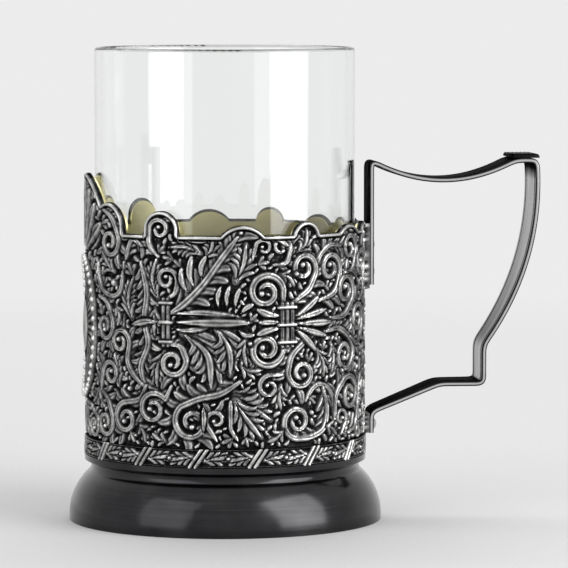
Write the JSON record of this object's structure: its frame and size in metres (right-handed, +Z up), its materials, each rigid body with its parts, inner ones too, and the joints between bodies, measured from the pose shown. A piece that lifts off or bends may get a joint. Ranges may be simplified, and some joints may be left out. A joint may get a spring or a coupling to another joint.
{
  "type": "tea glass holder",
  "caption": "Tea glass in a metal holder with a scrollwork sleeve, lobed rim, domed foot and bent strap handle; the glass lifts out.",
  "frame": {"origin": "centre of the foot's resting face, on the axis of the glass", "axes": "+Z up along the axis of the glass, +X towards the handle, -X towards the crest and its cartouche"},
  "size_m": [0.122, 0.0808, 0.1218],
  "materials": {
    "clear_glass": "gloss",
    "gilt": "polished",
    "oxidised_silver": "satin",
    "dark_polish": "gloss",
    "strap_silver": "gloss"
  },
  "bodies": {
    "holder": {"sleeve": "gilt", "scrollwork_jacket": "oxidised_silver", "cartouche_plaque": "oxidised_silver", "bead_frame": "oxidised_silver", "leaf_band": "oxidised_silver", "foot_shell": "dark_polish", "base_plate": "gilt", "handle_strap": "strap_silver", "thumb_rest": "dark_polish", "upper_rivets": "strap_silver", "lower_rivets": "strap_silver"},
    "glass": {"tea_glass": "clear_glass"}
  },
  "joints": [
    {"name": "glass_lift", "type": "slide", "parent": "holder", "child": "glass", "axis": [0, 0, 1], "range_m": [0, 0.075]}
  ]
}
